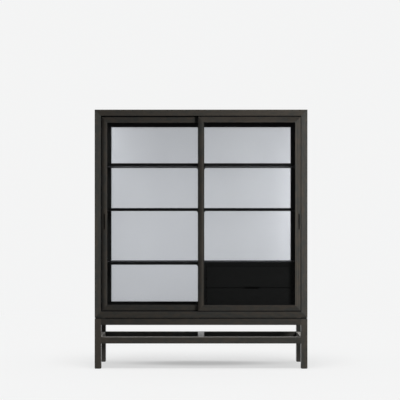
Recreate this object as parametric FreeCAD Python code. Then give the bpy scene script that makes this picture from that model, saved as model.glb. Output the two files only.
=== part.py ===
"""Mizuya kitchen cabinet: a glazed case with two sliding doors and two drawers on a leg stand.

Millimetres. X runs to the right of someone facing the doors, Y to the back and Z up.
The origin lies on the floor, under the middle of the cabinet.
"""
import FreeCAD
import Part
import os

Vector = FreeCAD.Vector

# Case
case_width = 1400.0
case_depth = 450.0
case_height = 1370.0
case_board = 41.0
shadow_gap = 5.0

# Stand
stand_height = 330.0
stand_stock = 42.0
rail_to_stretcher = 80.0
tenon_thickness = 12.0
tenon_shoulder = 8.0
tenon_web = 2.0
mortise_clearance = 0.2
foot_pad_thickness = 3.0
foot_pad_inset = 4.0

# Bolts that hold the case down on the stand
bolt_radius = 4.0
bolt_head_radius = 7.0
bolt_head_height = 5.0
bolt_clearance = 0.3
bolt_counterbore = 10.0
wood_over_bolt = 18.0
spacer_radius = 15.0
bolt_place_shares = (-0.36, 0.0, 0.36)

# Sliding doors
door_thickness = 22.0
door_member = 37.0
door_overlap = 42.0
door_setback = 5.0
door_spacing = 8.0
door_side_gap = 2.5
door_head_gap = 6.0
door_sill_gap = 5.0
door_glass_thickness = 4.0
door_bead_thickness = 8.0
door_rebate = 8.0

# Door tongues and the grooves that guide them
tongue_thickness = 10.0
tongue_clearance = 0.6
tongue_end_inset = 2.0
head_engagement = 10.0
lift_room = 6.0
sill_engagement = 4.0
sill_strip_thickness = 2.0
sliding_gap = 0.3

# Finger pulls in the outer door stiles
pull_width = 14.0
pull_height = 102.0
pull_depth = 10.0
pull_corner = 3.0
pull_margin = 7.5
pull_rise = 587.0

# Shelves and the divider between the two halves
divider_thickness = 30.0
shelf_thickness = 18.0
shelf_door_gap = 8.0
shelf_play = 0.5
upper_shelf_rise = 979.0
middle_shelf_rise = 682.0
lower_shelf_rise = 324.0
cleat_width = 12.0
cleat_height = 8.0
cleat_setback = 8.0

# Back frame and its panes
back_thickness = 25.0
back_top_rail_height = 43.5
back_bottom_rail_height = 39.0
back_stile_width = 38.5
back_pane_thickness = 5.0
back_bead_thickness = 10.0
back_rebate = 8.0

# Play of a pane in its rebate
pane_play = 1.0

# Drawer case
drawer_case_side = 20.0
drawer_case_board = 10.0
drawer_case_back_thickness = 8.0

# Drawers
drawer_inset = 5.0
drawer_gap = 2.0
drawer_split = 3.0
drawer_front_thickness = 18.0
drawer_side_thickness = 14.0
drawer_side_drop = 20.0
drawer_back_thickness = 12.0
drawer_back_room = 7.0
drawer_bottom_thickness = 6.0
drawer_bottom_rise = 10.0
drawer_bottom_groove = 5.0

# Runners that the drawer sides hang on
runner_height = 16.0
runner_rise = 55.0
runner_groove_depth = 8.0
runner_play = 1.0
runner_front_gap = 2.0
drawer_side_clearance = 2.0

# Finger notch that both drawers share
notch_width = 98.0
notch_height = 14.0
notch_corner = 4.0

# Rounding of the edges that a hand meets, and how far a cut runs past a face
arris = 1.0
overrun = 1.0

# Places that follow from the sizes above
half_width = case_width / 2
front_y = -case_depth / 2
back_y = case_depth / 2
case_low_z = stand_height + shadow_gap
case_high_z = case_low_z + case_height
floor_z = case_low_z + case_board
ceiling_z = case_high_z - case_board
inner_x = half_width - case_board

door_width = inner_x - door_side_gap + door_overlap / 2
door_low_z = floor_z + door_sill_gap
door_high_z = ceiling_z - door_head_gap
door_lip = door_thickness - door_bead_thickness - door_glass_thickness
front_door_y = front_y + door_setback
rear_door_y = front_door_y + door_thickness + door_spacing
sill_groove_depth = sill_engagement + sill_strip_thickness
head_groove_depth = head_engagement + lift_room
groove_half_width = tongue_thickness / 2 + tongue_clearance

shelf_front_y = rear_door_y + door_thickness + shelf_door_gap
back_frame_y = back_y - back_thickness
divider_face_x = divider_thickness / 2
shelf_levels = {
    "upper": floor_z + upper_shelf_rise,
    "middle": floor_z + middle_shelf_rise,
    "lower": floor_z + lower_shelf_rise,
}

drawer_case_high_z = shelf_levels["lower"] - shelf_thickness
drawer_left_x = divider_face_x + drawer_case_side
drawer_right_x = inner_x - drawer_case_side
drawer_low_z = floor_z + drawer_case_board + drawer_gap
drawer_high_z = drawer_case_high_z - drawer_case_board - drawer_gap
drawer_front_height = (drawer_high_z - drawer_low_z - drawer_split) / 2
drawer_face_y = shelf_front_y + drawer_inset
drawer_side_y = drawer_face_y + drawer_front_thickness
drawer_case_rear_y = back_frame_y - drawer_case_back_thickness
drawer_rear_y = drawer_case_rear_y - drawer_back_room

x_axis = Vector(1, 0, 0)
y_axis = Vector(0, 1, 0)
z_axis = Vector(0, 0, 1)
parallel_share = 1e-6


def block(x_low, x_high, y_low, y_high, z_low, z_high):
    """Return the box between two corners."""
    corner = Vector(x_low, y_low, z_low)
    return Part.makeBox(x_high - x_low, y_high - y_low, z_high - z_low, corner)


def prism(outline, y_low, y_high):
    """Return the solid that a closed outline in X and Z sweeps along Y."""
    points = [Vector(x, y_low, z) for x, z in outline]
    face = Part.Face(Part.makePolygon(points + points[:1]))
    return face.extrude(y_axis * (y_high - y_low))


def edges_along(solid, axis):
    """Return the edges of a solid that run along an axis."""
    found = []
    for edge in solid.Edges:
        direction = edge.tangentAt(edge.FirstParameter)
        if direction.cross(axis).Length < parallel_share:
            found.append(edge)
    return found


def eased(solid, axis):
    """Round the edges of a plain bar that run along an axis."""
    return solid.makeFillet(arris, edges_along(solid, axis))


def eased_face(solid, y):
    """Round the edges round the front face of a board, which lies at y."""
    edges = [edge for edge in solid.Edges if abs(edge.BoundBox.YMax - y) < arris / 2]
    return solid.makeFillet(arris, edges)


def rounded_slot(x_low, x_high, y_low, y_high, z_low, z_high, radius):
    """Return a box whose edges along Y are rounded."""
    slot = block(x_low, x_high, y_low, y_high, z_low, z_high)
    return slot.makeFillet(radius, edges_along(slot, y_axis))


def rectangle(x_low, x_high, z_low, z_high):
    """Return the corners of a rectangle in X and Z, from the lower left, turning left."""
    return [(x_low, z_low), (x_high, z_low), (x_high, z_high), (x_low, z_high)]


def mitred_frame(x_low, x_high, z_low, z_high, width, y_low, y_high):
    """Return the bottom, right, top and left members of a frame with mitred corners."""
    outer = rectangle(x_low, x_high, z_low, z_high)
    inner = rectangle(x_low + width, x_high - width, z_low + width, z_high - width)
    members = []
    for start, axis in enumerate((x_axis, z_axis, x_axis, z_axis)):
        end = (start + 1) % len(outer)
        outline = [outer[start], outer[end], inner[end], inner[start]]
        across = [x for x, z in outline]
        upward = [z for x, z in outline]
        bar = block(min(across), max(across), y_low, y_high, min(upward), max(upward))
        members.append(eased(bar, axis).common(prism(outline, y_low, y_high)))
    return members


def rebate_pocket(opening, depth, y_low, y_high):
    """Return the space of the rebate round a glazed opening, to be cut from its frame."""
    x_low, x_high, z_low, z_high = opening
    return block(x_low - depth, x_high + depth, y_low, y_high, z_low - depth, z_high + depth)


def glazing(opening, depth, y_front, pane_thickness, bead_thickness):
    """Return the pane in a rebate and the four beads that hold it from behind."""
    x_low, x_high, z_low, z_high = opening
    inset = depth - pane_play
    pane_back = y_front + pane_thickness
    bead_back = pane_back + bead_thickness
    pane = block(x_low - inset, x_high + inset, y_front, pane_back, z_low - inset, z_high + inset)
    beads = [
        block(x_low - depth, x_high + depth, pane_back, bead_back, z_low - depth, z_low),
        block(x_low - depth, x_high + depth, pane_back, bead_back, z_high, z_high + depth),
        block(x_low - depth, x_low, pane_back, bead_back, z_low, z_high),
        block(x_high, x_high + depth, pane_back, bead_back, z_low, z_high),
    ]
    return pane, beads


def beam(axis, low, high, across, level, half_width, half_height):
    """Return a bar along X or Y, at a place across it and at a level."""
    bottom = level - half_height
    top = level + half_height
    if axis == "x":
        return block(low, high, across - half_width, across + half_width, bottom, top)
    return block(across - half_width, across + half_width, low, high, bottom, top)


def tenoned_bar(axis, low, high, across, level):
    """Return a bar with a tenon past each shoulder, and the two mortises that take them."""
    half_stock = stand_stock / 2
    half_tenon = tenon_thickness / 2
    half_height = half_stock - tenon_shoulder
    length = half_stock - half_tenon - tenon_web
    bar = beam(axis, low, high, across, level, half_stock, half_stock)
    bar = eased(bar, x_axis if axis == "x" else y_axis)
    tenons = beam(axis, low - length, high + length, across, level, half_tenon, half_height)
    wide = half_tenon + mortise_clearance
    tall = half_height + mortise_clearance
    reach = length + mortise_clearance
    mortises = [
        beam(axis, low - reach, low, across, level, wide, tall),
        beam(axis, high, high + reach, across, level, wide, tall),
    ]
    return bar.fuse(tenons).removeSplitter(), mortises


def make_stand():
    """Return the legs, rails, stretchers and foot pads."""
    half_stock = stand_stock / 2
    leg_x = half_width - half_stock
    leg_y = back_y - half_stock
    shoulder_x = half_width - stand_stock
    shoulder_y = back_y - stand_stock
    rail_level = stand_height - half_stock
    stretcher_level = rail_level - stand_stock - rail_to_stretcher

    front_rail, mortises = tenoned_bar("x", -shoulder_x, shoulder_x, -leg_y, rail_level)
    rear_rail, more = tenoned_bar("x", -shoulder_x, shoulder_x, leg_y, rail_level)
    mortises += more
    front_stretcher, more = tenoned_bar("x", -shoulder_x, shoulder_x, -leg_y, stretcher_level)
    mortises += more
    rear_stretcher, more = tenoned_bar("x", -shoulder_x, shoulder_x, leg_y, stretcher_level)
    mortises += more
    side_bars = {"stand_side_rails": rail_level, "side_stretchers": stretcher_level}
    pieces = {}
    for name, level in side_bars.items():
        pair = []
        for x in (-leg_x, leg_x):
            bar, more = tenoned_bar("y", -shoulder_y, shoulder_y, x, level)
            pair.append(bar)
            mortises += more
        pieces[name] = Part.makeCompound(pair)

    cross, cross_mortises = tenoned_bar("y", -shoulder_y, shoulder_y, 0, stretcher_level)
    pieces["cross_stretcher"] = cross
    pieces["front_stretcher"] = front_stretcher.cut(cross_mortises)
    pieces["rear_stretcher"] = rear_stretcher.cut(cross_mortises)
    pieces["stand_front_rail"] = drilled_rail(front_rail, -leg_y)
    pieces["stand_rear_rail"] = drilled_rail(rear_rail, leg_y)

    pads = []
    for depth_name, y in (("front", -leg_y), ("rear", leg_y)):
        for side_name, x in (("left", -leg_x), ("right", leg_x)):
            leg = block(x - half_stock, x + half_stock, y - half_stock, y + half_stock,
                        foot_pad_thickness, stand_height)
            pieces["leg_" + depth_name + "_" + side_name] = eased(leg, z_axis).cut(mortises)
            half_pad = half_stock - foot_pad_inset
            pads.append(block(x - half_pad, x + half_pad, y - half_pad, y + half_pad,
                              0, foot_pad_thickness))
    pieces["foot_pads"] = Part.makeCompound(pads)
    return pieces


def bolt_places():
    """Return the x of each bolt along a rail."""
    span = case_width - 2 * stand_stock
    return [span * share for share in bolt_place_shares]


def drilled_rail(rail, y):
    """Return a rail with a counterbored hole for each bolt."""
    rail_low_z = stand_height - stand_stock
    for x in bolt_places():
        start = Vector(x, y, rail_low_z - overrun)
        hole = Part.makeCylinder(bolt_radius + bolt_clearance, stand_stock + 2 * overrun, start)
        head_room = bolt_head_radius + bolt_clearance
        counterbore = Part.makeCylinder(head_room, bolt_counterbore + overrun, start)
        rail = rail.cut([hole, counterbore])
    return rail


def make_fixings():
    """Return the case bolts and spacers, and the holes that the bolts need in the case."""
    seat_z = stand_height - stand_stock + bolt_counterbore
    tip_z = floor_z - wood_over_bolt
    rail_y = back_y - stand_stock / 2
    bolts = []
    spacers = []
    holes = []
    for y in (-rail_y, rail_y):
        for x in bolt_places():
            shank = Part.makeCylinder(bolt_radius, tip_z - seat_z, Vector(x, y, seat_z))
            head_base = Vector(x, y, seat_z - bolt_head_height)
            head = Part.makeCylinder(bolt_head_radius, bolt_head_height, head_base)
            bolts.append(shank.fuse(head).removeSplitter())
            base = Vector(x, y, stand_height)
            wide = bolt_radius + bolt_clearance
            hole = Part.makeCylinder(wide, tip_z + bolt_clearance - stand_height, base)
            holes.append(hole)
            spacers.append(Part.makeCylinder(spacer_radius, shadow_gap, base).cut(hole))
    pieces = {
        "case_bolts": Part.makeCompound(bolts),
        "case_spacers": Part.makeCompound(spacers),
    }
    return pieces, holes


def track(door_y, z_low, z_high):
    """Return the length of a door groove between two levels."""
    middle = door_y + door_thickness / 2
    return block(-inner_x, inner_x, middle - groove_half_width, middle + groove_half_width,
                 z_low, z_high)


def make_case(bolt_holes):
    """Return the four mitred case boards, grooved for the doors, and the sill strips."""
    bottom, right, top, left = mitred_frame(
        -half_width, half_width, case_low_z, case_high_z, case_board, front_y, back_y)
    strips = []
    for door_y in (front_door_y, rear_door_y):
        groove_low_z = floor_z - sill_groove_depth
        top = top.cut(track(door_y, ceiling_z - overrun, ceiling_z + head_groove_depth))
        bottom = bottom.cut(track(door_y, groove_low_z, floor_z + overrun))
        strips.append(track(door_y, groove_low_z, groove_low_z + sill_strip_thickness))
    return {
        "case_top": top,
        "case_bottom": bottom.cut(bolt_holes),
        "case_left_side": left,
        "case_right_side": right,
        "sill_strips": Part.makeCompound(strips),
    }


def make_back():
    """Return the back frame, its two panes and their beads."""
    low_z = floor_z + back_bottom_rail_height
    high_z = ceiling_z - back_top_rail_height
    side_x = inner_x - back_stile_width
    centre_x = back_stile_width / 2
    openings = {
        "left": (-side_x, -centre_x, low_z, high_z),
        "right": (centre_x, side_x, low_z, high_z),
    }
    members = {
        "back_bottom_rail": block(-inner_x, inner_x, back_frame_y, back_y, floor_z, low_z),
        "back_top_rail": block(-inner_x, inner_x, back_frame_y, back_y, high_z, ceiling_z),
        "back_left_stile": block(-inner_x, -side_x, back_frame_y, back_y, low_z, high_z),
        "back_centre_stile": block(-centre_x, centre_x, back_frame_y, back_y, low_z, high_z),
        "back_right_stile": block(side_x, inner_x, back_frame_y, back_y, low_z, high_z),
    }
    pane_y = back_y - back_bead_thickness - back_pane_thickness
    pockets = [rebate_pocket(opening, back_rebate, pane_y, back_y + overrun)
               for opening in openings.values()]
    pieces = {name: member.cut(pockets) for name, member in members.items()}
    all_beads = []
    for side, opening in openings.items():
        pane, beads = glazing(
            opening, back_rebate, pane_y, back_pane_thickness, back_bead_thickness)
        pieces["back_" + side + "_pane"] = pane
        all_beads += beads
    pieces["back_beads"] = Part.makeCompound(all_beads)
    return pieces


def make_shelves():
    """Return the divider, the shelves and the cleats that carry them."""
    divider = block(-divider_face_x, divider_face_x, shelf_front_y, back_frame_y,
                    floor_z, ceiling_z)
    pieces = {"centre_divider": divider}
    cleats = []
    bays = {"left": (-inner_x, -divider_face_x), "right": (divider_face_x, inner_x)}
    for level, shelf_z in shelf_levels.items():
        low_z = shelf_z - shelf_thickness
        for side, (x_low, x_high) in bays.items():
            board = block(x_low + shelf_play, x_high - shelf_play, shelf_front_y,
                          back_frame_y - shelf_play, low_z, shelf_z)
            pieces[level + "_shelf_" + side] = board
            on_drawer_case = level == "lower" and side == "right"
            if not on_drawer_case:
                for start_x in (x_low, x_high - cleat_width):
                    cleats.append(block(start_x, start_x + cleat_width,
                                        shelf_front_y + cleat_setback, back_frame_y,
                                        low_z - cleat_height, low_z))
    pieces["shelf_cleats"] = Part.makeCompound(cleats)
    return pieces


def make_drawer_case():
    """Return the boards round the two drawers and the runners on its sides."""
    top_z = drawer_case_high_z
    sides = [
        block(divider_face_x, drawer_left_x, shelf_front_y, back_frame_y, floor_z, top_z),
        block(drawer_right_x, inner_x, shelf_front_y, back_frame_y, floor_z, top_z),
    ]
    bottom = block(drawer_left_x, drawer_right_x, shelf_front_y, back_frame_y,
                   floor_z, floor_z + drawer_case_board)
    top = block(drawer_left_x, drawer_right_x, shelf_front_y, back_frame_y,
                top_z - drawer_case_board, top_z)
    back = block(drawer_left_x, drawer_right_x, drawer_case_rear_y, back_frame_y,
                 floor_z + drawer_case_board, top_z - drawer_case_board)
    runners = []
    for drawer_z in drawer_levels().values():
        middle_z = drawer_z + runner_rise
        for x_low, x_high in runner_spans(runner_play):
            runners.append(block(x_low, x_high, drawer_side_y + runner_front_gap, drawer_rear_y,
                                 middle_z - runner_height / 2, middle_z + runner_height / 2))
    return {
        "drawer_case_sides": Part.makeCompound(sides),
        "drawer_case_bottom": bottom,
        "drawer_case_top": top,
        "drawer_case_back": back,
        "drawer_runners": Part.makeCompound(runners),
    }


def drawer_levels():
    """Return the z of the lower edge of each drawer front."""
    return {
        "lower": drawer_low_z,
        "upper": drawer_low_z + drawer_front_height + drawer_split,
    }


def runner_spans(end_gap):
    """Return where a runner reaches from each side of the drawer case into its groove."""
    reach = drawer_side_clearance + runner_groove_depth - end_gap
    return [
        (drawer_left_x, drawer_left_x + reach),
        (drawer_right_x - reach, drawer_right_x),
    ]


def finger_notch():
    """Return the space of the notch that both drawer fronts share."""
    middle_x = (drawer_left_x + drawer_right_x) / 2
    middle_z = (drawer_low_z + drawer_high_z) / 2
    return rounded_slot(middle_x - notch_width / 2, middle_x + notch_width / 2,
                        drawer_face_y - overrun, drawer_side_y + overrun,
                        middle_z - notch_height / 2, middle_z + notch_height / 2, notch_corner)


def make_drawer(level, low_z):
    """Return the front, sides, back and bottom of one drawer."""
    front = block(drawer_left_x + drawer_gap, drawer_right_x - drawer_gap,
                  drawer_face_y, drawer_side_y, low_z, low_z + drawer_front_height)
    front = eased_face(front, drawer_face_y).cut(finger_notch())

    side_high_z = low_z + drawer_front_height - drawer_side_drop
    outer_left = drawer_left_x + drawer_side_clearance
    outer_right = drawer_right_x - drawer_side_clearance
    inner_left = outer_left + drawer_side_thickness
    inner_right = outer_right - drawer_side_thickness
    left = block(outer_left, inner_left, drawer_side_y, drawer_rear_y, low_z, side_high_z)
    right = block(inner_right, outer_right, drawer_side_y, drawer_rear_y, low_z, side_high_z)

    bottom_low_z = low_z + drawer_bottom_rise
    bottom_high_z = bottom_low_z + drawer_bottom_thickness
    bottom = block(inner_left - drawer_bottom_groove, inner_right + drawer_bottom_groove,
                   drawer_side_y - drawer_bottom_groove, drawer_rear_y,
                   bottom_low_z, bottom_high_z)
    back = block(inner_left, inner_right, drawer_rear_y - drawer_back_thickness, drawer_rear_y,
                 bottom_high_z, side_high_z)

    middle_z = low_z + runner_rise
    groove_low_z = middle_z - runner_height / 2 - runner_play
    groove_high_z = middle_z + runner_height / 2 + sliding_gap
    grooves = [block(x_low, x_high, drawer_side_y - overrun, drawer_rear_y + overrun,
                     groove_low_z, groove_high_z)
               for x_low, x_high in runner_spans(0)]
    sides = [side.cut(grooves + [bottom]) for side in (left, right)]
    return {
        level + "_drawer_front": front.cut(bottom),
        level + "_drawer_sides": Part.makeCompound(sides),
        level + "_drawer_back": back,
        level + "_drawer_bottom": bottom,
    }


def finger_pull(x_low, door_y):
    """Return the space of a finger pull whose left edge is at x_low."""
    middle_z = door_low_z + pull_rise
    return rounded_slot(x_low, x_low + pull_width, door_y - overrun, door_y + pull_depth,
                        middle_z - pull_height / 2, middle_z + pull_height / 2, pull_corner)


def make_door(side, x_low, door_y):
    """Return the frame members, glass and beads of one sliding door."""
    x_high = x_low + door_width
    bottom, right, top, left = mitred_frame(
        x_low, x_high, door_low_z, door_high_z, door_member, door_y, door_y + door_thickness)

    middle_y = door_y + door_thickness / 2
    tongue_low_y = middle_y - tongue_thickness / 2
    tongue_high_y = middle_y + tongue_thickness / 2
    tongue_x_low = x_low + tongue_end_inset
    tongue_x_high = x_high - tongue_end_inset
    head_tongue = block(tongue_x_low, tongue_x_high, tongue_low_y, tongue_high_y,
                        door_high_z, ceiling_z + head_engagement)
    sill_tongue = block(tongue_x_low, tongue_x_high, tongue_low_y, tongue_high_y,
                        floor_z - sill_engagement + sliding_gap, door_low_z)
    top = top.fuse(head_tongue).removeSplitter()
    bottom = bottom.fuse(sill_tongue).removeSplitter()

    if side == "left":
        outer_stile = left.cut(finger_pull(x_low + pull_margin, door_y))
        meeting_stile = right
    else:
        outer_stile = right.cut(finger_pull(x_high - pull_margin - pull_width, door_y))
        meeting_stile = left

    opening = (x_low + door_member, x_high - door_member,
               door_low_z + door_member, door_high_z - door_member)
    glass_y = door_y + door_lip
    pocket = rebate_pocket(opening, door_rebate, glass_y, door_y + door_thickness + overrun)
    glass, beads = glazing(
        opening, door_rebate, glass_y, door_glass_thickness, door_bead_thickness)
    name = side + "_door_"
    return {
        name + "outer_stile": outer_stile.cut(pocket),
        name + "meeting_stile": meeting_stile.cut(pocket),
        name + "top_rail": top.cut(pocket),
        name + "bottom_rail": bottom.cut(pocket),
        name + "glass": glass,
        name + "beads": Part.makeCompound(beads),
    }


def build():
    """Return every piece of the cabinet by name."""
    pieces = make_stand()
    fixings, bolt_holes = make_fixings()
    pieces.update(fixings)
    pieces.update(make_case(bolt_holes))
    pieces.update(make_back())
    pieces.update(make_shelves())
    pieces.update(make_drawer_case())
    for level, low_z in drawer_levels().items():
        pieces.update(make_drawer(level, low_z))
    pieces.update(make_door("right", inner_x - door_side_gap - door_width, front_door_y))
    pieces.update(make_door("left", -inner_x + door_side_gap, rear_door_y))
    return pieces


def write_parts(pieces):
    """Write each piece to its own file and print what was made."""
    os.makedirs("parts", exist_ok=True)
    for name, shape in sorted(pieces.items()):
        shape.exportStep(os.path.join("parts", name + ".step"))
        print(name, len(shape.Solids), "solids, valid", shape.isValid())
    whole = Part.makeCompound(list(pieces.values())).BoundBox
    print(len(pieces), "pieces files, size", whole.XLength, whole.YLength, whole.ZLength)
    print("door travel", 2 * inner_x - 2 * door_side_gap - door_width)
    print("free drawer run behind the doors", shelf_door_gap + drawer_inset)


write_parts(build())
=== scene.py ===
"""Looks of the mizuya kitchen cabinet: its stained oak, black inside, glass and the studio round it."""

import math

import bpy
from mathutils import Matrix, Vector


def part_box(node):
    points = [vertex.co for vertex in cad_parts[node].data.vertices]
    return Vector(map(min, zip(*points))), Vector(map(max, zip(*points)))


bl_info = {
    "name": "Mizuya Kitchen Cabinet",
    "version": (1, 0, 0),
    "blender": (4, 5, 0),
    "location": "3D View > Sidebar > Cabinet",
    "description": "Finishes a glazed sliding door cabinet and sets it in a plain studio",
    "category": "Object",
}

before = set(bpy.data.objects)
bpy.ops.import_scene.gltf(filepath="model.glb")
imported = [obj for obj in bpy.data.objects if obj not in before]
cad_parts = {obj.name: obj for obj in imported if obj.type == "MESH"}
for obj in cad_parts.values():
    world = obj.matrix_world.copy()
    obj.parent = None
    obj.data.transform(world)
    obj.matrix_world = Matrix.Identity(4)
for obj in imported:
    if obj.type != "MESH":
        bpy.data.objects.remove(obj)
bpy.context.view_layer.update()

AXES = "xyz"
BLACK = (0.0, 0.0, 0.0, 1.0)

# Side of the square picture in pixels
IMAGE_SIDE = 400

# How far from a flat face the black of a mask starts or ends, within the rounding of the edge
EDGE = 0.0008

# How far past its inner faces the case is black, which takes in the grooves of the doors
GROOVE_REACH = 0.02

# How far the middle of a finger pull lies from the outer edge of its door
PULL_PLACE = 0.0145

# Colours of the small fittings
RUBBER_BLACK = (0.012, 0.012, 0.012)
ZINC_GREY = (0.55, 0.55, 0.57)
NYLON_BLACK = (0.03, 0.03, 0.03)

# How light each board is painted, beside a board that isn't listed. Partly the tone each board
# took from the stain, partly painted light and shade: uprights lighter than rails, as side light
# catches their grain, and the rear legs and rear stretcher lighter or darker for the light below the case
BOARD_TONE_AND_PAINTED_LIGHT = {
    "leg_front_left": 1.2,
    "leg_front_right": 1.22,
    "leg_rear_left": 1.65,
    "leg_rear_right": 0.95,
    "stand_front_rail": 0.97,
    "stand_rear_rail": 0.8,
    "front_stretcher": 1.07,
    "rear_stretcher": 2.7,
    "case_top": 1.08,
    "case_bottom": 0.93,
    "case_left_side": 1.43,
    "case_right_side": 1.5,
    "left_door_outer_stile": 1.6,
    "right_door_outer_stile": 1.42,
    "left_door_meeting_stile": 1.0,
    "right_door_meeting_stile": 1.2,
    "left_door_top_rail": 1.0,
    "right_door_top_rail": 0.93,
    "left_door_bottom_rail": 0.82,
    "right_door_bottom_rail": 0.85,
}

# How strong the sheen of fine dust is on each stretcher. The other boards have none.
BOARD_DUST = {
    "front_stretcher": 0.6,
    "rear_stretcher": 0.2,
    "side_stretchers": 1.0,
}

# Share of pale colour on the top of the left side stretcher and of the right one: partly dust,
# partly painted light, more at the left where the lamps light it less
TOP_DUST_AND_PAINTED_LIGHT = (0.35, 0.12)

# Painted light and shade across a board: how light a board is painted at its left and right
# ends, and the power that the change follows
PAINTED_SHADE_ACROSS = {
    # Darker towards the left on these three boards: painted fall of the light from the lamp at the right
    "case_top": (0.76, 1.0, 1),
    "case_bottom": (0.92, 1.0, 1),
    "stand_front_rail": (0.84, 1.0, 1),
    # Darker towards the left: painted shadow of the case side on the recessed door
    "left_door_outer_stile": (0.15, 1.0, 1),
    # Darker towards the left of the meeting stile
    "right_door_meeting_stile": (0.25, 1.0, 1),
    # Darker at the right end: painted shade where the lamp at the right reaches below the case
    "rear_stretcher": (1.0, 0.3, 6),
}

case_low, case_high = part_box("case_bottom")[0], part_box("case_top")[1]
inner_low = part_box("back_bottom_rail")[0]
inner_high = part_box("back_top_rail")[1]


class Socket:
    """An output of a shader node that takes part in sums."""

    def __init__(self, finish, output):
        self.finish = finish
        self.output = output

    def join(self, operation, first, second=0.0):
        """Return the result of a Math node on two values."""
        return self.finish.add("ShaderNodeMath", {"operation": operation}, {0: first, 1: second})

    def __add__(self, other):
        return self.join("ADD", self, other)

    def __radd__(self, other):
        return self.join("ADD", other, self)

    def __sub__(self, other):
        return self.join("SUBTRACT", self, other)

    def __rsub__(self, other):
        return self.join("SUBTRACT", other, self)

    def __mul__(self, other):
        return self.join("MULTIPLY", self, other)

    def __rmul__(self, other):
        return self.join("MULTIPLY", other, self)

    def __truediv__(self, other):
        return self.join("DIVIDE", self, other)

    def __pow__(self, other):
        return self.join("POWER", self, other)

    def __gt__(self, other):
        return self.join("GREATER_THAN", self, other)

    def __lt__(self, other):
        return self.join("LESS_THAN", self, other)

    def root(self):
        """Return the square root of this value."""
        return self.join("SQRT", self)

    def size(self):
        """Return this value without its sign."""
        return self.join("ABSOLUTE", self)

    def whole(self):
        """Return the whole number below this value."""
        return self.join("FLOOR", self)

    def rest(self):
        """Return what is left of this value past the whole number below it."""
        return self.join("FRACT", self)

    def larger(self, other):
        """Return the larger of two values."""
        return self.join("MAXIMUM", self, other)

    def ramp(self, low, high):
        """Return 0 below low and 1 above high, with a smooth rise between."""
        settings = {"interpolation_type": "SMOOTHSTEP"}
        return self.finish.add("ShaderNodeMapRange", settings, {0: self, 1: low, 2: high})


class Finish:
    """A material that is put together one node at a time."""

    def __init__(self, tree):
        self.nodes = tree.nodes
        self.links = tree.links
        self.nodes.clear()

    def add(self, kind, settings=None, inputs=None, output=0):
        """Add a node with its settings, feed its sockets and return one of its outputs."""
        node = self.nodes.new(kind)
        for name, value in (settings or {}).items():
            setattr(node, name, value)
        for key, value in (inputs or {}).items():
            if isinstance(value, Socket):
                self.links.new(value.output, node.inputs[key])
            else:
                node.inputs[key].default_value = value
        return Socket(self, node.outputs[output]) if node.outputs else node

    def place(self):
        """Return where a point of the piece lies, in the cabinet's own frame."""
        return self.add("ShaderNodeTexCoord", output="Object")

    def normal(self):
        """Return which way the surface looks."""
        return self.add("ShaderNodeNewGeometry", output="True Normal")

    def parts(self, vector):
        """Return the X, Y and Z of a vector."""
        split = self.add("ShaderNodeSeparateXYZ", inputs={0: vector}).output.node
        return [Socket(self, output) for output in split.outputs]

    def joined(self, x, y, z):
        """Return a vector of three values."""
        return self.add("ShaderNodeCombineXYZ", inputs={0: x, 1: y, 2: z})

    def noise(self, vector, scale, detail=2.0, roughness=0.5):
        """Return the strength of a noise at a point."""
        return self.add("ShaderNodeTexNoise", inputs={
            "Vector": vector, "Scale": scale, "Detail": detail, "Roughness": roughness})

    def mixed(self, share, first, second):
        """Return a colour between two colours."""
        settings = {"data_type": "RGBA"}
        return self.add("ShaderNodeMix", settings, {0: share, 6: first, 7: second}, output=2)

    def bump(self, height, depth):
        """Return a normal that a height tilts."""
        return self.add("ShaderNodeBump", inputs={"Height": height, "Distance": depth})

    def surface(self, shader):
        """Put a shader on the surface."""
        self.add("ShaderNodeOutputMaterial", inputs={"Surface": shader})

    def rays(self):
        """Return 1 for what the camera or a glass sees, and 1 for what a gloss mirrors."""
        path = self.add("ShaderNodeLightPath").output.node
        camera, glass, gloss = (Socket(self, path.outputs[ray]) for ray in (
            "Is Camera Ray", "Is Transmission Ray", "Is Glossy Ray"))
        return camera + glass, gloss * (1 - glass)


def new_finish(name):
    """Return a new material and the finish that fills it."""
    material = bpy.data.materials.new(name)
    material.use_nodes = True
    return material, Finish(material.node_tree)


def opaque(colour):
    """Return a colour with full alpha."""
    return (*colour[:3], 1.0)


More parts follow.
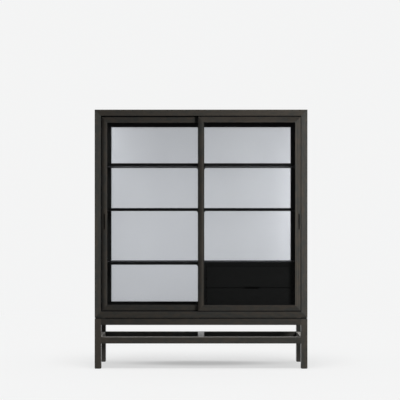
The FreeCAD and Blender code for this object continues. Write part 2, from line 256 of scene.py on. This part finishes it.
class OakSettings(bpy.types.PropertyGroup):
    """Stain and grain of the oak."""

    warm_stain: bpy.props.FloatVectorProperty(
        name="Warm stain", description="Browner places of the stain",
        subtype="COLOR", default=(0.057, 0.0496, 0.0412), min=0.0, max=1.0)
    cool_stain: bpy.props.FloatVectorProperty(
        name="Cool stain", description="Greyer places of the stain",
        subtype="COLOR", default=(0.0405, 0.0413, 0.0383), min=0.0, max=1.0)
    pore_stain: bpy.props.FloatVectorProperty(
        name="Pore stain", description="Stain that gathered in the open grain and the pores",
        subtype="COLOR", default=(0.012, 0.011, 0.0095), min=0.0, max=1.0)
    worn_stain: bpy.props.FloatVectorProperty(
        name="Worn stain", description="Oak on the edges, where hands have thinned the stain",
        subtype="COLOR", default=(0.105, 0.092, 0.076), min=0.0, max=1.0)
    ring_width: bpy.props.FloatProperty(
        name="Ring width", description="Usual distance between growth rings",
        unit="LENGTH", default=0.0042, min=0.001, max=0.05)
    stave_width: bpy.props.FloatProperty(
        name="Stave width", description="Width of the staves that the wide boards are glued from",
        unit="LENGTH", default=0.113, min=0.05, max=1.0)
    pore_depth: bpy.props.FloatProperty(
        name="Pore depth", description="Depth of the open pores",
        unit="LENGTH", default=0.0002, min=0.0, max=0.002)
    roughness: bpy.props.FloatProperty(
        name="Roughness", description="Roughness of the satin oil on the oak",
        subtype="FACTOR", default=0.28, min=0.0, max=1.0)
    # Scales the sheen of the stretchers and the pale colour on the tops of the side stretchers, which is
    # partly dust and partly painted light
    dust: bpy.props.FloatProperty(
        name="Dust", description="Fine dust on the stretchers, which shows at a low angle",
        subtype="FACTOR", default=1.0, min=0.0, max=1.0)
    # Also the colour of the painted light on the tops of the side stretchers
    dust_colour: bpy.props.FloatVectorProperty(
        name="Dust colour", description="Colour of the fine dust",
        subtype="COLOR", default=(1.0, 0.96, 0.9), min=0.0, max=1.0)


class InsideSettings(bpy.types.PropertyGroup):
    """The black inside, the drawers and the small fittings."""

    lacquer: bpy.props.FloatVectorProperty(
        name="Lacquer", description="Black lacquer of the inside",
        subtype="COLOR", default=(0.0075, 0.0075, 0.0075), min=0.0, max=1.0)
    lacquer_roughness: bpy.props.FloatProperty(
        name="Lacquer roughness", description="Roughness of the black lacquer",
        subtype="FACTOR", default=0.6, min=0.0, max=1.0)
    # The black on the oak is the lacquer of the inside and painted shade on rims, tongues, pulls and at
    # the gap below the case
    rim_roughness: bpy.props.FloatProperty(
        name="Rim roughness", description="Roughness of the black on the inner faces and rims of the oak",
        subtype="FACTOR", default=1.0, min=0.0, max=1.0)
    drawer_stain: bpy.props.FloatVectorProperty(
        name="Drawer stain", description="Black stain of the drawer boxes",
        subtype="COLOR", default=(0.012, 0.0115, 0.011), min=0.0, max=1.0)


class GlassSettings(bpy.types.PropertyGroup):
    """The clear door glass and the frosted panes of the back."""

    door_tint: bpy.props.FloatVectorProperty(
        name="Door tint", description="What the door glass lets through",
        subtype="COLOR", default=(0.955, 0.965, 0.962), min=0.0, max=1.0)
    pane_colour: bpy.props.FloatVectorProperty(
        name="Pane colour", description="Colour of the frosted panes",
        subtype="COLOR", default=(0.595, 0.602, 0.637), min=0.0, max=1.0)
    pane_glow: bpy.props.FloatProperty(
        name="Light let through", description="Share of light that the panes let through",
        subtype="FACTOR", default=1.0, min=0.0, max=1.0)


class StudioSettings(bpy.types.PropertyGroup):
    """The camera, the lights and the floor."""

    camera_distance: bpy.props.FloatProperty(
        name="Camera distance", description="From the camera to the front of the cabinet",
        unit="LENGTH", default=8.411, min=1.0, max=30.0)
    camera_height: bpy.props.FloatProperty(
        name="Camera height", description="Height of the level camera above the floor",
        unit="LENGTH", default=0.982, min=0.0, max=5.0)
    camera_side: bpy.props.FloatProperty(
        name="Camera place", description="How far right of the cabinet's middle the camera is",
        unit="LENGTH", default=-0.007, min=-5.0, max=5.0)
    picture_width: bpy.props.FloatProperty(
        name="Picture width", description="Width of the view at the front of the cabinet",
        unit="LENGTH", default=2.6312, min=0.5, max=20.0)
    horizon: bpy.props.FloatProperty(
        name="Horizon", description="Row of the picture that is level with the camera",
        default=219.5, min=0.0, max=400.0)
    key_power: bpy.props.FloatProperty(
        name="Key light", description="Power of the soft light at the right",
        unit="POWER", default=118.0, min=0.0, max=2000.0)
    key_size: bpy.props.FloatProperty(
        name="Key light size", description="Width of the soft light at the right",
        unit="LENGTH", default=0.66, min=0.1, max=5.0)
    top_level: bpy.props.FloatProperty(
        name="Top light", description="Share of the floor's light that comes from overhead",
        default=0.85, min=0.0, max=2.0)
    top_spread: bpy.props.FloatProperty(
        name="Top light spread", description="How wide the soft light overhead looks from the floor",
        subtype="ANGLE", default=math.radians(30), min=0.0, max=math.pi)
    sky_level: bpy.props.FloatProperty(
        name="Light all round", description="Strength of the even light of the room",
        default=0.15, min=0.0, max=2.0)
    front_gloss: bpy.props.FloatProperty(
        name="Dim front", description="How bright the room before the cabinet looks in its gloss",
        subtype="FACTOR", default=0.05, min=0.0, max=1.0)
    back_gloss: bpy.props.FloatProperty(
        name="Pale back", description="How bright the wall behind the cabinet looks in its gloss",
        subtype="FACTOR", default=1.0, min=0.0, max=1.0)
    rear_power: bpy.props.FloatProperty(
        name="Rear light", description="Power of the soft light behind the panes at the right",
        unit="POWER", default=8.9, min=0.0, max=2000.0)
    rear_middle_power: bpy.props.FloatProperty(
        name="Rear middle light", description="Power of the soft light behind the middle panes",
        unit="POWER", default=0.9, min=0.0, max=2000.0)
    rear_corner_power: bpy.props.FloatProperty(
        name="Rear corner light", description="Power of the soft light behind the top left pane",
        unit="POWER", default=1.0, min=0.0, max=2000.0)
    shadow_lift: bpy.props.FloatProperty(
        name="Shadow lift", description="Share of the floor's light that no shadow takes away",
        subtype="FACTOR", default=0.73, min=0.0, max=1.0)
    # Strengths of the painted shadow on the floor below the cabinet and round it
    shadow_core: bpy.props.FloatProperty(
        name="Shadow core", description="How much of that share is lost below the cabinet's middle",
        subtype="FACTOR", default=0.24, min=0.0, max=1.0)
    shadow_halo: bpy.props.FloatProperty(
        name="Shadow halo", description="How much light the cabinet takes from the floor round it",
        subtype="FACTOR", default=0.038, min=0.0, max=1.0)
    bounce_colour: bpy.props.FloatVectorProperty(
        name="Floor bounce", description="Light that the floor throws back on the cabinet",
        subtype="COLOR", default=(0.2, 0.2, 0.2), min=0.0, max=1.0)
    wall_colour: bpy.props.FloatVectorProperty(
        name="Wall", description="Colour of the background",
        subtype="COLOR", default=(0.904, 0.907, 0.907), min=0.0, max=1.0)
    floor_colour: bpy.props.FloatVectorProperty(
        name="Floor", description="Colour of the floor",
        subtype="COLOR", default=(0.94, 0.94, 0.94), min=0.0, max=1.0)


class CabinetSettings(bpy.types.PropertyGroup):
    """Every setting of the cabinet's looks."""

    oak: bpy.props.PointerProperty(type=OakSettings)
    inside: bpy.props.PointerProperty(type=InsideSettings)
    glass: bpy.props.PointerProperty(type=GlassSettings)
    studio: bpy.props.PointerProperty(type=StudioSettings)


def stave_place(finish, axis, board, settings):
    """Return a random number of the stave that a point lies in, and the place of the point in it.

    The place is across the stave, through its thickness and along the log that it was cut from.
    """
    low, high = board
    middle = (low + high) / 2
    along = AXES.index(axis)
    thick, wide = sorted({0, 1, 2} - {along}, key=lambda side: high[side] - low[side])
    stave_width = settings.oak.stave_width
    log_length = 9.0
    seed_x, seed_y, seed_z = 3.1, 5.3, 7.7
    place = finish.parts(finish.place())
    across = (place[wide] - middle[wide]) / stave_width + 0.5
    stave = across.whole()
    seed = middle.x * seed_x + middle.y * seed_y + middle.z * seed_z
    chance = finish.add("ShaderNodeTexWhiteNoise", {"noise_dimensions": "1D"},
                        {"W": stave + seed}, output="Value")
    width_place = (across - stave - 0.5) * stave_width
    depth_place = place[thick] - middle[thick]
    length_place = place[along] + chance * log_length
    return chance, width_place, depth_place, length_place


def oak_grain(finish, axis, board, settings):
    """Return the open grain, fibres, pores and tone of the stain of a board cut along an axis.

    A wide board is glued from staves. Each stave comes from another place in the log, whose
    rings are arcs round a pith to one side of it.
    """
    # How much of the length each noise keeps along the log, its scale per metre and its detail
    drift_noise = (0.05, 5.0)
    wave_noise = (0.3, 12.0)
    grain_noise = (0.1, 40.0)
    fibre_noise = (0.012, 800.0)
    pore_noise = (0.045, 1500.0, 1.0)
    stain_noise = (0.15, 9.0, 3.0)
    patch_noise = (0.5, 45.0, 3.0)

    pith_width, pith_depth = 0.19, 0.12
    drift, wave = 0.03, 0.004
    ring_scale, ring_detail, ring_unevenness = 55.0, 1.0, 3.0
    grain_edge, grain_least = (0.05, 0.6), 0.4
    pore_edge, pores_in_grain = (0.6, 0.72), 0.12
    stave_contrast, patch_share = 0.25, 0.6
    tone_edge = (0.38, 0.62)
    chance, width_place, depth_place, length_place = stave_place(finish, axis, board, settings)

    def log_noise(share, scale, detail=2.0):
        """Return a noise that is drawn out along the log."""
        return finish.noise(finish.joined(width_place, depth_place, length_place * share),
                            scale, detail)

    width_side = width_place + chance * pith_width
    depth_side = depth_place + pith_depth
    radius = (width_side * width_side + depth_side * depth_side).root()
    radius = radius + log_noise(*drift_noise) * drift + log_noise(*wave_noise) * wave
    unevenness = finish.noise(finish.joined(radius, 0.0, 0.0), ring_scale, ring_detail)
    ring = (radius / settings.oak.ring_width + unevenness * ring_unevenness).rest()
    open_grain = (1 - ring.ramp(*grain_edge)) * (log_noise(*grain_noise) + grain_least)
    fibres = log_noise(*fibre_noise)
    pores = (log_noise(*pore_noise) + open_grain * pores_in_grain).ramp(*pore_edge)
    drift_of_stain = log_noise(*stain_noise) + chance * stave_contrast - stave_contrast / 2
    patches = log_noise(*patch_noise)
    tone = (drift_of_stain * (1 - patch_share) + patches * patch_share).ramp(*tone_edge)
    return open_grain, fibres, pores, tone


def edge_mask(finish):
    """Return 1 on the rounded edges of a piece, and 0 on its flat faces."""
    rounded, flat = 0.9, 0.995
    x, y, z = (part.size() for part in finish.parts(finish.normal()))
    return 1 - x.larger(y).larger(z).ramp(rounded, flat)


def drift_across(finish, name, left, right, power=1):
    """Return a value that goes from one number to another between the sides of a piece."""
    low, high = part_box(name)
    across = (finish.parts(finish.place())[0] - low.x) / (high.x - low.x)
    return across ** power * (right - left) + left


def oak_colour(finish, name, grain, stains):
    """Return the colour of one stained board, with its grain, wear and drift of stain, its painted light
    and shade, and dust.
    """
    grain_share, fibre_share, pore_share = 0.3, 0.25, 0.3
    fibre_edge = (0.35, 0.75)
    wear_scale, wear_detail = 25.0, 3.0
    wear_edge, worn_share = (0.3, 0.65), 0.12
    top_edge = (0.5, 0.9)
    open_grain, fibres, pores, drift = grain
    # The board's own tone together with its painted light and shade
    tone = BOARD_TONE_AND_PAINTED_LIGHT.get(name, 1.0)
    colour = finish.mixed(drift, opaque(stains.warm_stain * tone), opaque(stains.cool_stain * tone))
    depth = open_grain * grain_share + fibres.ramp(*fibre_edge) * fibre_share + pores * pore_share
    colour = finish.mixed(depth, colour, opaque(stains.pore_stain * tone))
    wear = finish.noise(finish.place(), wear_scale, wear_detail).ramp(*wear_edge)
    worn = edge_mask(finish) * wear
    colour = finish.mixed(worn * worn_share, colour, opaque(stains.worn_stain * tone))
    # Painted light and shade: the board darker towards one end
    if name in PAINTED_SHADE_ACROSS:
        shade = drift_across(finish, name, *PAINTED_SHADE_ACROSS[name])
        colour = finish.mixed(shade, BLACK, colour)
    # Pale colour on the tops of the side stretchers: partly dust, partly painted light
    if name == "side_stretchers":
        top = finish.parts(finish.normal())[2].ramp(*top_edge)
        dust = drift_across(finish, name, *TOP_DUST_AND_PAINTED_LIGHT) * top * stains.dust
        colour = finish.mixed(dust, colour, opaque(stains.dust_colour))
    return colour


def oak(name, axis, settings, black=None):
    """Return stained oak for one board, whose grain runs along an axis.

    Where the mask named black is 1, black covers the stain: the black lacquer of the inside, and painted
    shade on rims, tongues, pulls and at the gap below the case.
    """
    rough_grain, rough_pores, rough_fibres = 0.05, 0.22, 0.06
    deep_grain, deep_pores, deep_fibres = 0.15, 0.75, 0.1
    dust_roughness = 0.3
    material, finish = new_finish("oak_" + name)
    stains = settings.oak
    grain = oak_grain(finish, axis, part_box(name), settings)
    open_grain, fibres, pores, _ = grain
    colour = oak_colour(finish, name, grain, stains)
    roughness = (stains.roughness + open_grain * rough_grain + pores * rough_pores
                 + fibres * rough_fibres)
    # Black lacquer, and painted shade in gaps and recesses
    if black:
        mask = black(finish)
        colour = finish.mixed(mask, colour, opaque(settings.inside.lacquer))
        roughness = roughness * (1 - mask) + mask * settings.inside.rim_roughness
    height = 1 - pores * deep_pores - open_grain * deep_grain - fibres * deep_fibres
    shader = finish.add("ShaderNodeBsdfPrincipled", inputs={
        "Base Color": colour, "Roughness": roughness,
        "Sheen Weight": BOARD_DUST.get(name, 0.0) * stains.dust,
        "Sheen Roughness": dust_roughness, "Sheen Tint": opaque(stains.dust_colour),
        "Normal": finish.bump(height, stains.pore_depth)})
    finish.surface(shader)
    return material


def inside_mask(finish):
    """Return 1 on the inner faces of the case and in its grooves, and 0 on its front and outside.

    It takes in a strip of the rear edges too, beside the frame of the back.
    """
    skin = 0.0001
    x, y, z = finish.parts(finish.place())
    deep = y > case_low.y + skin
    return (deep * (x > inner_low.x - GROOVE_REACH) * (x < inner_high.x + GROOVE_REACH)
            * (z > inner_low.z - GROOVE_REACH) * (z < inner_high.z + GROOVE_REACH))


def rim_mask(finish, low=0.7, high=0.96):
    """Return 1 on the faces of a board that look up, down or sideways, and 0 on front and back.

    It fades on the rounded edges, where the share of a face that looks to the front or the back
    goes from low to high.
    """
    return 1 - finish.parts(finish.normal())[1].size().ramp(low, high)


def door_shade_mask(side):
    """Return the mask of one door, painted shade that is black on its rims, its tongues and in the half
    of its pull that lies in shadow.
    """
    tongue_start = 0.0002
    low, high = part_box(side + "outer_stile")
    pull_x = low.x + PULL_PLACE if side == "left_door_" else high.x - PULL_PLACE

    def mask(finish):
        """Return 1 on the faces of the door's frame that are painted black as shade, and 0 on the rest.
        """
        x, y, z = finish.parts(finish.place())
        # Painted shadow in the right half of the finger pull, and painted shade on the rims and on the
        # tongues in the gaps
        painted_pull_shadow = (y > low.y + EDGE) * (y < high.y - EDGE) * (x > pull_x)
        tongues = (z > high.z + tongue_start) + (z < low.z - tongue_start)
        return rim_mask(finish).larger(painted_pull_shadow).larger(tongues)

    return mask


def gap_shade_mask(finish):
    """Return 1 on the faces of the stand and the case that meet across the shadow gap, painted black as
    shade.
    """
    z = finish.parts(finish.place())[2]
    return (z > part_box("stand_front_rail")[1].z - EDGE) * (z < case_low.z + EDGE)


def case_lacquer_and_shade_mask(finish):
    """Return 1 on the faces of the case that are black: the black lacquer of the inside, and the
    underside, painted black as shade in the gap.
    """
    return inside_mask(finish).larger(gap_shade_mask(finish))


def lacquer(name, axis, colour, settings, roughness=None, painted_gap_shade=False):
    """Return black lacquer over a wood whose grain just shows.

    With painted gap shade the rims are black and matt: painted shade for the narrow gaps round a board.
    """
    grain_share, drift_share, lighter = 0.4, 0.3, 1.5
    rough_grain, rough_pores = 0.05, 0.1
    rim_start, rim_end = 0.95, 0.999
    gloss, pore_depth = 0.25, 0.00006
    material, finish = new_finish(name)
    open_grain, _, pores, drift = oak_grain(finish, axis, (case_low, case_high), settings)
    share = open_grain * grain_share + drift * drift_share
    tint = finish.mixed(share, opaque(colour), opaque(colour * lighter))
    base = roughness or settings.inside.lacquer_roughness
    rough = base + open_grain * rough_grain + pores * rough_pores
    # Painted shade on the rims, in the gaps round the board
    if painted_gap_shade:
        rims = rim_mask(finish, rim_start, rim_end)
        tint = finish.mixed(rims, tint, BLACK)
        rough = rough * (1 - rims) + rims
    shader = finish.add("ShaderNodeBsdfPrincipled", inputs={
        "Base Color": tint, "Roughness": rough,
        "Specular IOR Level": gloss, "Normal": finish.bump(1 - pores, pore_depth)})
    finish.surface(shader)
    return material


def clear_glass(settings):
    """Return clear glass that lets the lamps through and mirrors at its faces."""
    bending = 1.45
    dust_scale, dust_detail = 6.0, 4.0
    dust_edge, dust_share = (0.5, 0.9), 0.004
    material, finish = new_finish("clear_glass")
    mirror = finish.add("ShaderNodeBsdfGlossy", inputs={"Roughness": 0.0})
    through = finish.add("ShaderNodeBsdfTransparent",
                         inputs={"Color": opaque(settings.glass.door_tint)})
    share = finish.add("ShaderNodeFresnel", inputs={"IOR": bending})
    dust = finish.noise(finish.place(), dust_scale, dust_detail).ramp(*dust_edge) * dust_share
    finish.surface(finish.add("ShaderNodeMixShader", inputs={0: share + dust, 1: through, 2: mirror}))
    return material


def frosted_glass(settings):
    """Return frosted glass that glows with the light behind it."""
    grit_scale, grit_detail = 1400.0, 2.0
    cloud_scale, cloud_detail = 7.0, 3.0
    darker = 0.95
    frost, grit_roughness, grit_depth = 0.55, 0.1, 0.00004
    material, finish = new_finish("frosted_glass")
    grit = finish.noise(finish.place(), grit_scale, grit_detail)
    cloud = finish.noise(finish.place(), cloud_scale, cloud_detail)
    colour = opaque(settings.glass.pane_colour)
    shade = opaque([part * darker for part in colour])
    tint = finish.mixed(grit * 0.5 + cloud * 0.5, shade, colour)
    finish.surface(finish.add("ShaderNodeBsdfPrincipled", inputs={
        "Base Color": tint, "Roughness": frost + grit * grit_roughness,
        "Transmission Weight": settings.glass.pane_glow,
        "Normal": finish.bump(grit, grit_depth)}))
    return material


def plain(name, colour, roughness, metallic=0.0):
    """Return a fine grained finish of one colour, for small fittings."""
    grain_scale, grain_detail = 900.0, 2.0
    darker, grain_roughness, grain_depth = 0.8, 0.1, 0.00005
    material, finish = new_finish(name)
    grain = finish.noise(finish.place(), grain_scale, grain_detail)
    tint = finish.mixed(grain, opaque([part * darker for part in colour]), opaque(colour))
    shader = finish.add("ShaderNodeBsdfPrincipled", inputs={
        "Base Color": tint, "Metallic": metallic,
        "Roughness": roughness + grain * grain_roughness,
        "Normal": finish.bump(grain, grain_depth)})
    finish.surface(shader)
    return material


def dress(names, material):
    """Give pieces a finish."""
    for name in names:
        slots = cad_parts[name].data.materials
        slots.clear()
        slots.append(material)


def named(*beginnings):
    """Return the names of the pieces that begin with one of these words."""
    return [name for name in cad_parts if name.startswith(beginnings)]


def dress_oak(names, axis, settings, black=None):
    """Give each piece an oak of its own, cut along an axis."""
    for name in names:
        dress([name], oak(name, axis, settings, black))


class CABINET_OT_stand(bpy.types.Operator):
    """Finish the legs, rails and stretchers of the stand"""

    bl_idname = "cabinet.stand"
    bl_label = "Stand"

    def execute(self, context):
        settings = context.scene.cabinet
        # The faces at the gap below the case are painted black as shade
        dress_oak(named("leg_"), "z", settings, gap_shade_mask)
        dress_oak(["stand_front_rail", "stand_rear_rail"], "x", settings, gap_shade_mask)
        dress_oak(["front_stretcher", "rear_stretcher"], "x", settings)
        dress_oak(["stand_side_rails"], "y", settings, gap_shade_mask)
        dress_oak(["side_stretchers", "cross_stretcher"], "y", settings)
        return {"FINISHED"}


class CABINET_OT_fittings(bpy.types.Operator):
    """Finish the foot pads, spacers, bolts and sill strips"""

    bl_idname = "cabinet.fittings"
    bl_label = "Fittings"

    def execute(self, context):
        rubber = plain("rubber", RUBBER_BLACK, roughness=0.75)
        zinc = plain("zinc_steel", ZINC_GREY, roughness=0.35, metallic=1.0)
        nylon = plain("nylon", NYLON_BLACK, roughness=0.4)
        dress(["foot_pads", "case_spacers"], rubber)
        dress(["case_bolts"], zinc)
        dress(["sill_strips"], nylon)
        return {"FINISHED"}


class CABINET_OT_case(bpy.types.Operator):
    """Finish the four boards of the case, black on their inner faces"""

    bl_idname = "cabinet.case"
    bl_label = "Case"

    def execute(self, context):
        settings = context.scene.cabinet
        # Black lacquer inside the case, and painted shade at the gap below it
        dress_oak(["case_top", "case_bottom"], "x", settings, case_lacquer_and_shade_mask)
        dress_oak(["case_left_side", "case_right_side"], "z", settings, case_lacquer_and_shade_mask)
        return {"FINISHED"}


class CABINET_OT_inside(bpy.types.Operator):
    """Finish the divider, shelves, cleats and the frame of the back"""

    bl_idname = "cabinet.inside"
    bl_label = "Inside"

    def execute(self, context):
        settings = context.scene.cabinet
        colour = settings.inside.lacquer
        stile_lightness = 2.2
        upright = lacquer("lacquer_uprights", "z", colour, settings)
        stile = lacquer("lacquer_back_stiles", "z", colour * stile_lightness, settings)
        level = lacquer("lacquer_shelves", "x", colour, settings)
        deep = lacquer("lacquer_cleats", "y", colour, settings)
        dress(["centre_divider", "drawer_case_sides"], upright)
        dress(["back_left_stile", "back_centre_stile", "back_right_stile"], stile)
        dress(named("upper_shelf", "middle_shelf", "lower_shelf"), level)
        dress(["back_top_rail", "back_bottom_rail", "back_beads", "drawer_case_top",
               "drawer_case_bottom", "drawer_case_back"], level)
        dress(["shelf_cleats", "drawer_runners"], deep)
        return {"FINISHED"}


class CABINET_OT_panes(bpy.types.Operator):
    """Finish the frosted panes of the back"""

    bl_idname = "cabinet.panes"
    bl_label = "Back panes"

    def execute(self, context):
        dress(["back_left_pane", "back_right_pane"], frosted_glass(context.scene.cabinet))
        return {"FINISHED"}


class CABINET_OT_doors(bpy.types.Operator):
    """Finish the frames and glass of the sliding doors"""

    bl_idname = "cabinet.doors"
    bl_label = "Sliding doors"

    def execute(self, context):
        settings = context.scene.cabinet
        glass = clear_glass(settings)
        for side in ("left_door_", "right_door_"):
            # Painted shade on the rims, tongues and pulls of the door
            black = door_shade_mask(side)
            dress_oak([side + "outer_stile", side + "meeting_stile"], "z", settings, black)
            dress_oak([side + "top_rail", side + "bottom_rail", side + "beads"], "x", settings, black)
            dress([side + "glass"], glass)
        return {"FINISHED"}


class CABINET_OT_drawers(bpy.types.Operator):
    """Finish the two drawers"""

    bl_idname = "cabinet.drawers"
    bl_label = "Drawers"

    def execute(self, context):
        settings = context.scene.cabinet
        stain = settings.inside.drawer_stain
        stain_roughness = 0.55
        front_lightness = 1.35
        colour = settings.inside.lacquer * front_lightness
        # The rims of the drawer fronts are painted shade
        front = lacquer("lacquer_drawer_fronts", "x", colour, settings, painted_gap_shade=True)
        side = lacquer("stain_drawer_sides", "y", stain, settings, stain_roughness)
        across = lacquer("stain_drawer_backs", "x", stain, settings, stain_roughness)
        for level in ("upper_drawer_", "lower_drawer_"):
            dress([level + "front"], front)
            dress([level + "sides"], side)
            dress([level + "back", level + "bottom"], across)
        return {"FINISHED"}


class CABINET_OT_studio(bpy.types.Operator):
    """Set up the floor, the background, the lights and the camera"""

    bl_idname = "cabinet.studio"
    bl_label = "Studio"

    def execute(self, context):
        studio = context.scene.cabinet.studio
        context.scene.view_settings.view_transform = "Standard"
        make_floor(context, studio)
        make_sky(context, studio)
        make_top_light(context, studio)
        make_key_light(context, studio)
        make_rear_lights(context, studio)
        make_camera(context, studio)
        return {"FINISHED"}


def room_light(shown, seen, gloss, toward_back, studio):
    """Return how bright the room is to each kind of ray.

    Shown is how bright the camera and the glass see it. A gloss mirrors a room that is dim before
    the cabinet and pale behind it, and all else gets the even light.
    """
    front_end, back_start = -0.3, 0.5
    contrast = studio.back_gloss - studio.front_gloss
    mirrored = toward_back.ramp(front_end, back_start) * contrast + studio.front_gloss
    return shown + gloss * mirrored + (1 - seen - gloss) * studio.sky_level


def pool(finish, place, middle, reach, start):
    """Return 1 round a point of the floor and 0 past a reach from it, with a smooth fall between.

    The fall starts at a share of the reach.
    """
    x, y = finish.parts(place)[:2]
    across = (x - middle[0]) / reach[0]
    deep = (y - middle[1]) / reach[1]
    return 1 - (across * across + deep * deep).root().ramp(start, 1.0)


def make_floor(context, studio):
    """Make a floor that keeps the shadow and fades into the background far away.

    A share of its light stays out of the lamps' shadow. Two pools, one below the cabinet and one
    round it, are a painted shadow: they darken the floor where the cabinet keeps the light of the room
    from it.
    """
    reach = 40.0
    fade_start, fade_end = 2.2, 5.0
    core_middle, core_reach, core_start = (0.0, 0.11), (0.7, 0.22), 0.2
    halo_middle, halo_reach, halo_start = (0.0, 0.2), (1.8, 1.6), 0.0
    bpy.ops.mesh.primitive_plane_add(size=2 * reach)
    floor = context.object
    floor.name = "studio_floor"
    material, finish = new_finish("studio_floor")
    place = finish.place()
    distance = finish.add("ShaderNodeVectorMath", {"operation": "LENGTH"}, {0: place}, output="Value")
    seen, gloss = finish.rays()
    colour = finish.mixed(seen, opaque(studio.bounce_colour), opaque(studio.floor_colour))
    lit = finish.add("ShaderNodeBsdfDiffuse", inputs={"Color": colour})
    toward_back = finish.parts(place)[1] / distance
    # Painted shadow below the cabinet's middle, and round the cabinet
    core = pool(finish, place, core_middle, core_reach, core_start) * studio.shadow_core
    halo = pool(finish, place, halo_middle, halo_reach, halo_start) * studio.shadow_halo
    strength = room_light(seen * (1 - halo), seen, gloss, toward_back, studio)
    even = finish.add("ShaderNodeEmission", inputs={
        "Color": opaque(studio.wall_colour), "Strength": strength})
    fade = distance.ramp(fade_start, fade_end)
    share = fade + (1 - fade) * (seen * (studio.shadow_lift - core) + gloss)
    finish.surface(finish.add("ShaderNodeMixShader", inputs={0: share, 1: lit, 2: even}))
    floor.data.materials.append(material)


def make_sky(context, studio):
    """Make the even light of the room, and the background that the camera, gloss and glass see."""
    world = bpy.data.worlds.new("studio_room")
    world.use_nodes = True
    context.scene.world = world
    finish = Finish(world.node_tree)
    direction = finish.add("ShaderNodeTexCoord", output="Generated")
    toward_back = finish.parts(direction)[1]
    seen, gloss = finish.rays()
    strength = room_light(seen, seen, gloss, toward_back, studio)
    light = finish.add("ShaderNodeBackground", inputs={
        "Color": opaque(studio.wall_colour), "Strength": strength})
    finish.add("ShaderNodeOutputWorld", inputs={"Surface": light})


def make_top_light(context, studio):
    """Make the soft light overhead, a little to the front, that throws the shadow on the floor."""
    height, front = 4.0, 0.7
    place = Vector((0.0, -front, height))
    turn = (-place).to_track_quat("-Z", "Y").to_euler()
    bpy.ops.object.light_add(type="SUN", location=place, rotation=turn)
    lamp = context.object
    lamp.name = "top_light"
    lamp.data.energy = studio.top_level * math.pi
    lamp.data.angle = studio.top_spread


def make_area_light(context, name, place, aim, size, power):
    """Make a soft square light that leaves the floor alone and shows in no gloss."""
    turn = (aim - place).to_track_quat("-Z", "Y").to_euler()
    bpy.ops.object.light_add(type="AREA", location=place, rotation=turn)
    lamp = context.object
    lamp.name = name
    lamp.data.shape = "SQUARE"
    lamp.data.size = size
    lamp.data.energy = power
    lamp.visible_glossy = False
    unlit = bpy.data.collections.new("not_lit_by_" + name)
    unlit.objects.link(bpy.data.objects["studio_floor"])
    unlit.collection_objects[0].light_linking.link_state = "EXCLUDE"
    lamp.light_linking.receiver_collection = unlit


def make_key_light(context, studio):
    """Make the soft light at the right, which lights the front of the cabinet."""
    place = Vector((2.08, -3.1, 1.75))
    aim_height = 1.0
    aim = Vector((0.0, case_low.y, aim_height))
    make_area_light(context, "key_light", place, aim, studio.key_size, studio.key_power)


def make_rear_lights(context, studio):
    """Make the soft lights behind the cabinet, which shine through its panes."""
    # The name of each light, its place, the x and z of the back that it aims at, its width and power
    lights = (
        ("rear_light", (1.35, 1.7, 1.05), (0.5, 1.05), 1.2, studio.rear_power),
        ("rear_middle_light", (-0.4, 1.5, 0.9), (-0.3, 0.9), 1.0, studio.rear_middle_power),
        ("rear_corner_light", (-0.95, 0.95, 1.6), (-0.6, 1.5), 0.4, studio.rear_corner_power),
    )
    for name, place, (aim_x, aim_z), width, power in lights:
        aim = Vector((aim_x, case_high.y, aim_z))
        make_area_light(context, name, Vector(place), aim, width, power)


def make_camera(context, studio):
    """Make a level camera that sees the cabinet from where the photograph does."""
    far_end = 200.0
    level = (math.pi / 2, 0.0, 0.0)
    place = (studio.camera_side, case_low.y - studio.camera_distance, studio.camera_height)
    bpy.ops.object.camera_add(location=place, rotation=level)
    camera = context.object
    camera.name = "studio_camera"
    sensor = camera.data.sensor_width
    camera.data.lens = sensor * studio.camera_distance / studio.picture_width
    camera.data.shift_y = (studio.horizon - IMAGE_SIDE / 2) / IMAGE_SIDE
    camera.data.clip_end = far_end
    context.scene.camera = camera


class CABINET_PT_panel(bpy.types.Panel):
    """Lists the settings and the steps of the cabinet"""

    bl_idname = "CABINET_PT_panel"
    bl_label = "Cabinet"
    bl_space_type = "VIEW_3D"
    bl_region_type = "UI"
    bl_category = "Cabinet"

    def draw(self, context):
        settings = context.scene.cabinet
        for group in (settings.oak, settings.inside, settings.glass, settings.studio):
            column = self.layout.column()
            for name in group.__annotations__:
                column.prop(group, name)
        for step in STEPS:
            self.layout.operator(step.bl_idname)


STEPS = (
    CABINET_OT_stand,
    CABINET_OT_fittings,
    CABINET_OT_case,
    CABINET_OT_inside,
    CABINET_OT_panes,
    CABINET_OT_doors,
    CABINET_OT_drawers,
    CABINET_OT_studio,
)
CLASSES = (OakSettings, InsideSettings, GlassSettings, StudioSettings, CabinetSettings,
           *STEPS, CABINET_PT_panel)


def register():
    """Register the classes and the settings."""
    for each in CLASSES:
        bpy.utils.register_class(each)
    bpy.types.Scene.cabinet = bpy.props.PointerProperty(type=CabinetSettings)


def unregister():
    """Take the settings and the classes away again."""
    del bpy.types.Scene.cabinet
    for each in reversed(CLASSES):
        bpy.utils.unregister_class(each)


def main():
    """Build the scene."""
    register()
    bpy.ops.cabinet.stand()
    bpy.ops.cabinet.fittings()
    bpy.ops.cabinet.case()
    bpy.ops.cabinet.inside()
    bpy.ops.cabinet.panes()
    bpy.ops.cabinet.doors()
    bpy.ops.cabinet.drawers()
    bpy.ops.cabinet.studio()


if __name__ == "__main__":
    main()
